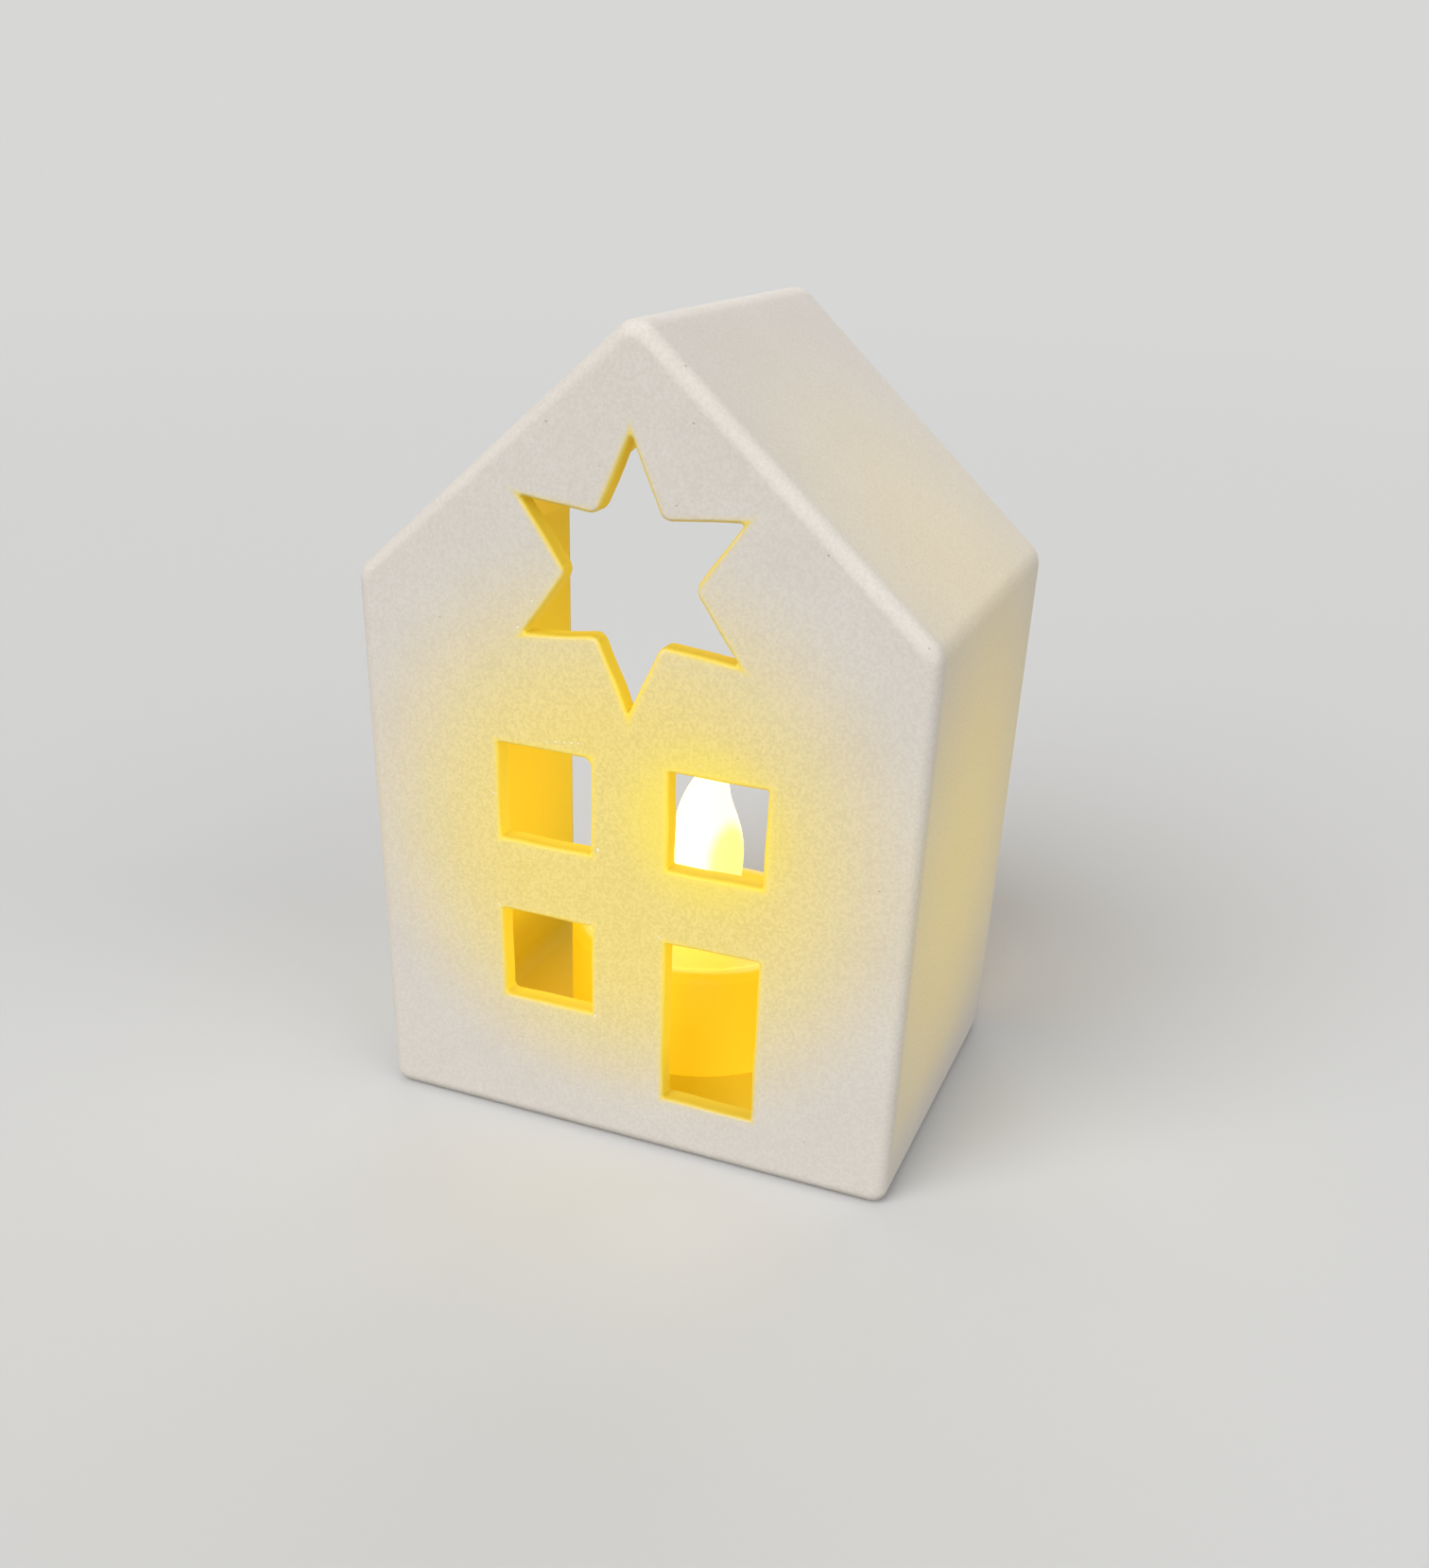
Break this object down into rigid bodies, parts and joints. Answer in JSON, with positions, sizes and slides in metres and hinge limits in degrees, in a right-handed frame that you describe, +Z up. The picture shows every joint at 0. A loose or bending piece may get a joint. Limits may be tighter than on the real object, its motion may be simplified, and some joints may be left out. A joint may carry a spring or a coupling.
{
  "type": "tealight house",
  "caption": "White porcelain gabled house, open at the back, with windows, a door and a star cut through its front, and an electric tealight standing inside.",
  "frame": {"origin": "middle of the base, on the surface that the house stands on", "axes": "+Z up to the ridge, +Y from the front wall with the openings to the open back, +X to the right as seen from the front"},
  "size_m": [0.07, 0.05, 0.099],
  "materials": {
    "porcelain": "unglazed bisque porcelain, fine grained and matte",
    "cup_plastic": "moulded, slightly translucent, satin",
    "flame_plastic": "frosted translucent, lit from inside",
    "led_epoxy": "clear amber epoxy",
    "tinned_wire": "tinned",
    "chassis_plastic": "moulded, satin",
    "cell_steel": "nickel-plated, lightly brushed",
    "cell_seal": "dark nylon",
    "contact_metal": "nickel-plated spring steel",
    "switch_plastic": "moulded, black"
  },
  "bodies": {
    "house": {"house_shell": "porcelain"},
    "tealight": {"tealight_cup": "cup_plastic", "flame_diffuser": "flame_plastic", "led_bulb": "led_epoxy", "led_anode_lead": "tinned_wire", "led_cathode_lead": "tinned_wire", "base_chassis": "chassis_plastic", "coin_cell_can": "cell_steel", "coin_cell_gasket": "cell_seal", "coin_cell_cap": "cell_steel", "positive_contact": "contact_metal", "negative_contact": "contact_metal", "switch_contact": "contact_metal"},
    "cover": {"battery_cover": "chassis_plastic"},
    "switch": {"switch_slider": "switch_plastic", "switch_bridge": "contact_metal"}
  },
  "joints": [
    {"name": "tealight_slide", "type": "slide", "parent": "house", "child": "tealight", "axis": [0, 1, 0], "range_m": [0, 0.06]},
    {"name": "switch_slide", "type": "slide", "parent": "tealight", "child": "switch", "axis": [0, 1, 0], "range_m": [0, 0.0025]},
    {"name": "cover_turn", "type": "hinge", "parent": "tealight", "child": "cover", "pos_m": [-0.0003, 0.0064, 0.0034], "axis": [0, 0, -1], "range_deg": [0, 40]}
  ]
}
